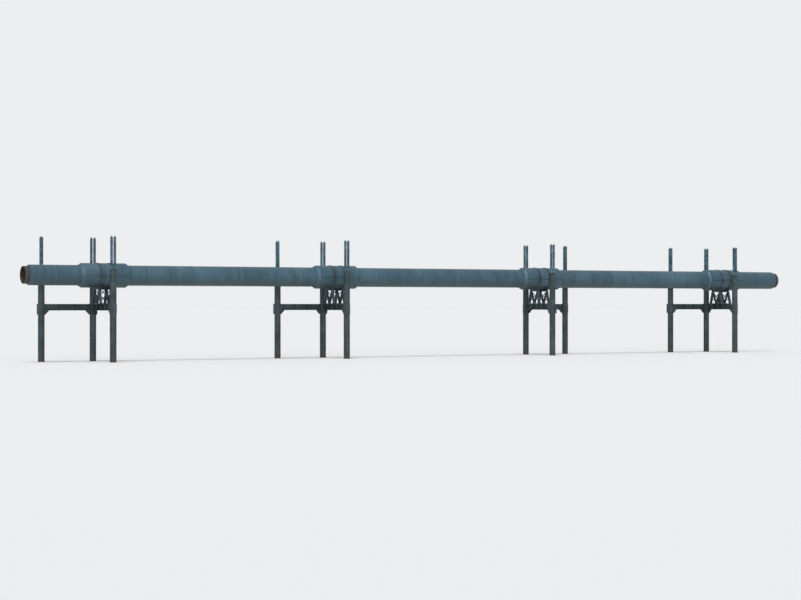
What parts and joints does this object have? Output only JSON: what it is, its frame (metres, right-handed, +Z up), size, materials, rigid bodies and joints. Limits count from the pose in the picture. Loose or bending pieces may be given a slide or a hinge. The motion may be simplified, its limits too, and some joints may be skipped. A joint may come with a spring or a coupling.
{
  "type": "scale model 1:2 of an industrial pipe bridge on pile bents",
  "caption": "Long insulated steel pipe clamped in sleeves on trestle saddles, carried over open bays by pile bents with crossbeams, stay posts and finned radiators.",
  "frame": {"origin": "on the ground under the pipe, midway between the two middle supports, which is the middle of the footprint", "axes": "+X along the pipe to the right end, +Y to the far side where the stay posts stand, +Z up"},
  "size_m": [33.25, 2.0798, 4.338],
  "materials": {
    "carrier_steel": "bare and coated line pipe, brown mill scale",
    "jacket_sheet": "weathered galvanised sheet, blue-grey",
    "sleeve_sheet": "weathered galvanised sheet, darker",
    "saddle_steel": "weathered dark steel",
    "beam_steel": "weathered dark steel",
    "bracket_steel": "weathered dark steel",
    "pile_steel": "weathered dark steel pile, rusty at the ground",
    "fin_aluminium": "dull weathered aluminium",
    "slide_stainless": "brushed stainless"
  },
  "bodies": {
    "root": {"carrier_pipe": "carrier_steel", "jacket_1": "jacket_sheet", "jacket_2": "jacket_sheet", "jacket_3": "jacket_sheet", "jacket_4": "jacket_sheet", "jacket_5": "jacket_sheet", "clamp_sleeve_1": "sleeve_sheet", "clamp_sleeve_2": "sleeve_sheet", "clamp_sleeve_3": "sleeve_sheet", "clamp_sleeve_4": "sleeve_sheet", "saddle_1": "saddle_steel", "saddle_2": "saddle_steel", "saddle_3": "saddle_steel", "saddle_4": "saddle_steel", "crossbeam_1": "beam_steel", "crossbeam_2": "beam_steel", "crossbeam_3": "beam_steel", "crossbeam_4": "beam_steel", "tie_beam_1": "beam_steel", "tie_beam_2": "beam_steel", "tie_beam_3": "beam_steel", "tie_beam_4": "beam_steel", "post_brackets_1": "bracket_steel", "post_brackets_2": "bracket_steel", "post_brackets_3": "bracket_steel", "post_brackets_4": "bracket_steel", "near_post_1": "pile_steel", "near_post_2": "pile_steel", "near_post_3": "pile_steel", "near_post_4": "pile_steel", "far_post_1": "pile_steel", "far_post_2": "pile_steel", "far_post_3": "pile_steel", "far_post_4": "pile_steel", "stay_post_1": "pile_steel", "stay_post_2": "pile_steel", "stay_post_3": "pile_steel", "stay_post_4": "pile_steel", "radiators_1": "fin_aluminium", "radiators_2": "fin_aluminium", "radiators_3": "fin_aluminium", "radiators_4": "fin_aluminium", "slide_plates": "slide_stainless"}
  },
  "joints": []
}
